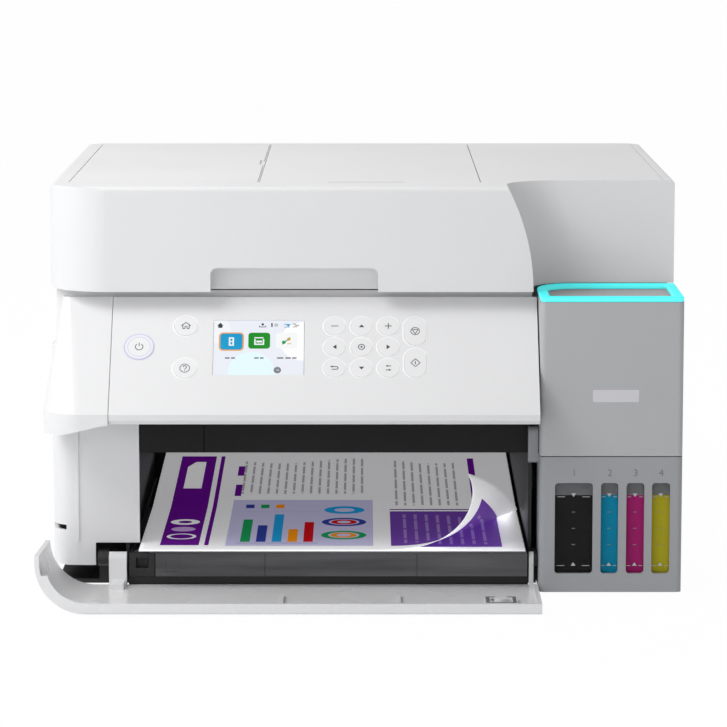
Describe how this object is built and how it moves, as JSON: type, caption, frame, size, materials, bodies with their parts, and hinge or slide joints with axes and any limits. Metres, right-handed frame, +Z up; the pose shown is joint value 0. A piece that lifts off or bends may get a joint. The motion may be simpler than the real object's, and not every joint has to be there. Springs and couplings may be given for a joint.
{
  "type": "inkjet printer",
  "caption": "Desktop inkjet printer with lift-up scanner and document feeder, tilting button panel, side ink tanks with windows, fold-down front cover and paper cassette.",
  "frame": {"origin": "middle of the footprint with the front cover open, at the level of the feet's undersides", "axes": "+Z up, +X to the printer's right as seen from the front, -Y towards the front"},
  "size_m": [0.3587, 0.383, 0.2293],
  "materials": {
    "white_shell": "fine satin moulded, off-white",
    "button_white": "satin",
    "tank_grey": "fine satin moulded, mid grey",
    "black_plastic": "fine grain",
    "rubber": "matte",
    "roller_rubber": "matte ground rubber",
    "sheet_steel": "zinc plated",
    "grey_plastic": "plain",
    "circuit_board": "solder mask",
    "clear_tube": "translucent",
    "tank_clear": "translucent",
    "ink": "liquid seen through the tank wall",
    "cap_black": "soft",
    "light_cyan": "lit light guide",
    "glass": "clear float glass",
    "white_pad": "foam backed film",
    "screen": "lit colour screen",
    "smoked_clear": "smoked clear plastic",
    "paper": "printed office paper"
  },
  "bodies": {
    "base": {"base_frame": "black_plastic", "left_cover": "white_shell", "left_cheek": "white_shell", "right_cover": "white_shell", "rear_cover": "white_shell", "rubber_feet": "rubber", "engine_housing": "black_plastic", "carriage_rail": "sheet_steel", "platen": "black_plastic", "timing_belt": "rubber", "drive_motors": "sheet_steel", "purge_unit": "black_plastic", "maintenance_box": "grey_plastic", "power_supply": "black_plastic", "power_inlet": "black_plastic", "main_board": "circuit_board", "ink_tubes": "clear_tube", "tank_housing": "tank_grey", "ink_tanks": "tank_clear", "ink_fills": "ink", "tank_caps": "cap_black"},
    "tank_cover": {"tank_cover": "tank_grey", "status_light": "light_cyan"},
    "carriage": {"print_carriage": "black_plastic"},
    "feed_roller": {"feed_roller": "roller_rubber"},
    "exit_roller": {"exit_roller": "roller_rubber"},
    "scanner": {"scanner_bed": "white_shell", "scanner_glass": "glass"},
    "scan_bar": {"scan_bar": "black_plastic"},
    "lid_lift": {"lid_hinges": "black_plastic"},
    "lid": {"lid_shell": "white_shell", "platen_pad": "white_pad", "adf_frame": "black_plastic"},
    "adf_cover": {"adf_cover": "white_shell"},
    "document_flap": {"document_flap": "white_shell"},
    "pickup_roller": {"pickup_roller": "roller_rubber"},
    "panel": {"panel_face": "white_shell", "panel_back": "black_plastic", "lcd": "screen"},
    "front_cover": {"front_cover": "white_shell"},
    "cassette": {"cassette_tray": "black_plastic", "cassette_cover": "smoked_clear"},
    "edge_guide": {"edge_guide": "black_plastic"},
    "output_tray": {"output_tray": "smoked_clear"},
    "sheets": {"printed_sheets": "paper"},
    "duplexer": {"duplex_unit": "black_plastic"},
    "key_power": {"button_power": "button_white"},
    "key_home": {"button_home": "button_white"},
    "key_help": {"button_help": "button_white"},
    "key_minus": {"button_minus": "button_white"},
    "key_up": {"button_up": "button_white"},
    "key_plus": {"button_plus": "button_white"},
    "key_left": {"button_left": "button_white"},
    "key_ok": {"button_ok": "button_white"},
    "key_right": {"button_right": "button_white"},
    "key_back": {"button_back": "button_white"},
    "key_down": {"button_down": "button_white"},
    "key_menu": {"button_menu": "button_white"},
    "key_stop": {"button_stop": "button_white"},
    "key_start": {"button_start": "button_white"}
  },
  "joints": [
    {"name": "scanner_swing", "type": "hinge", "parent": "base", "child": "scanner", "pos_m": [0, 0.1795, 0.146], "axis": [-1, 0, 0], "range_deg": [0, 35]},
    {"name": "scan_travel", "type": "slide", "parent": "scanner", "child": "scan_bar", "axis": [1, 0, 0], "range_m": [0, 0.27]},
    {"name": "book_lift", "type": "slide", "parent": "scanner", "child": "lid_lift", "axis": [0, 0, 1], "range_m": [0, 0.012]},
    {"name": "lid_swing", "type": "hinge", "parent": "lid_lift", "child": "lid", "pos_m": [0, 0.1835, 0.176], "axis": [-1, 0, 0], "range_deg": [0, 70]},
    {"name": "feeder_cover", "type": "hinge", "parent": "lid", "child": "adf_cover", "pos_m": [-0.16605, 0.0465, 0.228], "axis": [0, -1, 0], "range_deg": [0, 85]},
    {"name": "document_flap", "type": "hinge", "parent": "lid", "child": "document_flap", "pos_m": [0.06505, 0.0465, 0.228], "axis": [0, 1, 0], "range_deg": [0, 110]},
    {"name": "pickup_spin", "type": "hinge", "parent": "lid", "child": "pickup_roller", "pos_m": [-0.0858, 0.0465, 0.2143], "axis": [0, 1, 0], "continuous": true},
    {"name": "panel_tilt", "type": "hinge", "parent": "base", "child": "panel", "pos_m": [0, -0.1034, 0.1604], "axis": [-1, 0, 0], "range_deg": [0, 40]},
    {"name": "tank_cover_swing", "type": "hinge", "parent": "base", "child": "tank_cover", "pos_m": [0.1387, -0.0945, 0.161], "axis": [-1, 0, 0], "range_deg": [0, 80]},
    {"name": "carriage_travel", "type": "slide", "parent": "base", "child": "carriage", "axis": [1, 0, 0], "range_m": [-0.235, 0]},
    {"name": "feed_spin", "type": "hinge", "parent": "base", "child": "feed_roller", "pos_m": [0, 0.0655, 0.071], "axis": [-1, 0, 0], "continuous": true},
    {"name": "exit_spin", "type": "hinge", "parent": "base", "child": "exit_roller", "pos_m": [0, -0.0285, 0.0725], "axis": [-1, 0, 0], "continuous": true},
    {"name": "front_cover_swing", "type": "hinge", "parent": "base", "child": "front_cover", "pos_m": [-0.04, -0.1225, 0.019], "axis": [-1, 0, 0], "range_deg": [0, 90]},
    {"name": "cassette_pull", "type": "slide", "parent": "base", "child": "cassette", "axis": [0, 1, 0], "range_m": [-0.2, 0]},
    {"name": "edge_guide_slide", "type": "slide", "parent": "cassette", "child": "edge_guide", "axis": [1, 0, 0], "range_m": [0, 0.06]},
    {"name": "output_tray_pull", "type": "slide", "parent": "base", "child": "output_tray", "axis": [0, 1, 0], "range_m": [-0.12, 0]},
    {"name": "sheets_pull", "type": "slide", "parent": "output_tray", "child": "sheets", "axis": [0, 1, 0], "range_m": [-0.12, 0]},
    {"name": "duplexer_pull", "type": "slide", "parent": "base", "child": "duplexer", "axis": [0, 1, 0], "range_m": [0, 0.06]},
    {"name": "press_power", "type": "slide", "parent": "panel", "child": "key_power", "axis": [0, 0.7593, -0.6508], "range_m": [0, 0.0008], "stiffness_N_per_m": 400},
    {"name": "press_home", "type": "slide", "parent": "panel", "child": "key_home", "axis": [0, 0.7593, -0.6508], "range_m": [0, 0.0008], "stiffness_N_per_m": 400},
    {"name": "press_help", "type": "slide", "parent": "panel", "child": "key_help", "axis": [0, 0.7593, -0.6508], "range_m": [0, 0.0008], "stiffness_N_per_m": 400},
    {"name": "press_minus", "type": "slide", "parent": "panel", "child": "key_minus", "axis": [0, 0.7593, -0.6508], "range_m": [0, 0.0008], "stiffness_N_per_m": 400},
    {"name": "press_up", "type": "slide", "parent": "panel", "child": "key_up", "axis": [0, 0.7593, -0.6508], "range_m": [0, 0.0008], "stiffness_N_per_m": 400},
    {"name": "press_plus", "type": "slide", "parent": "panel", "child": "key_plus", "axis": [0, 0.7593, -0.6508], "range_m": [0, 0.0008], "stiffness_N_per_m": 400},
    {"name": "press_left", "type": "slide", "parent": "panel", "child": "key_left", "axis": [0, 0.7593, -0.6508], "range_m": [0, 0.0008], "stiffness_N_per_m": 400},
    {"name": "press_ok", "type": "slide", "parent": "panel", "child": "key_ok", "axis": [0, 0.7593, -0.6508], "range_m": [0, 0.0008], "stiffness_N_per_m": 400},
    {"name": "press_right", "type": "slide", "parent": "panel", "child": "key_right", "axis": [0, 0.7593, -0.6508], "range_m": [0, 0.0008], "stiffness_N_per_m": 400},
    {"name": "press_back", "type": "slide", "parent": "panel", "child": "key_back", "axis": [0, 0.7593, -0.6508], "range_m": [0, 0.0008], "stiffness_N_per_m": 400},
    {"name": "press_down", "type": "slide", "parent": "panel", "child": "key_down", "axis": [0, 0.7593, -0.6508], "range_m": [0, 0.0008], "stiffness_N_per_m": 400},
    {"name": "press_menu", "type": "slide", "parent": "panel", "child": "key_menu", "axis": [0, 0.7593, -0.6508], "range_m": [0, 0.0008], "stiffness_N_per_m": 400},
    {"name": "press_stop", "type": "slide", "parent": "panel", "child": "key_stop", "axis": [0, 0.7593, -0.6508], "range_m": [0, 0.0008], "stiffness_N_per_m": 400},
    {"name": "press_start", "type": "slide", "parent": "panel", "child": "key_start", "axis": [0, 0.7593, -0.6508], "range_m": [0, 0.0008], "stiffness_N_per_m": 400}
  ],
  "couplings": [
    {"joint": "exit_spin", "follows": "feed_spin", "ratio": 1.3333}
  ]
}
